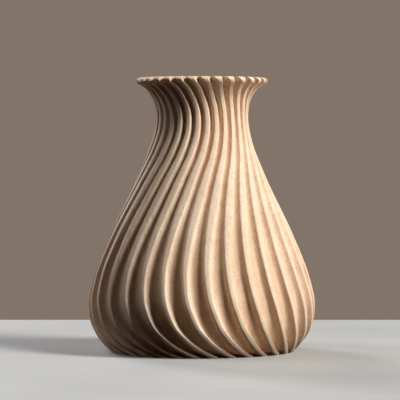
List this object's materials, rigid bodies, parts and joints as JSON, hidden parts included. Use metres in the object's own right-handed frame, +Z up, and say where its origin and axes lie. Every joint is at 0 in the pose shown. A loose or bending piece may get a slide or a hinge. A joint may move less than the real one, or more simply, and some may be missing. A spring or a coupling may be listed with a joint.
{
  "type": "vase",
  "caption": "Ribbed vase with a pear-shaped belly, a narrow neck and a flared, toothed mouth; printed in one piece, for dried stems.",
  "frame": {"origin": "centre of the foot, on the surface the vase stands on", "axes": "+Z up along the vase's axis; -Y towards the viewer; the axis has no front"},
  "size_m": [0.1491, 0.1489, 0.18],
  "materials": {
    "printed_plastic": "matte, fine layer lines"
  },
  "bodies": {
    "root": {"vase": "printed_plastic"}
  },
  "joints": []
}
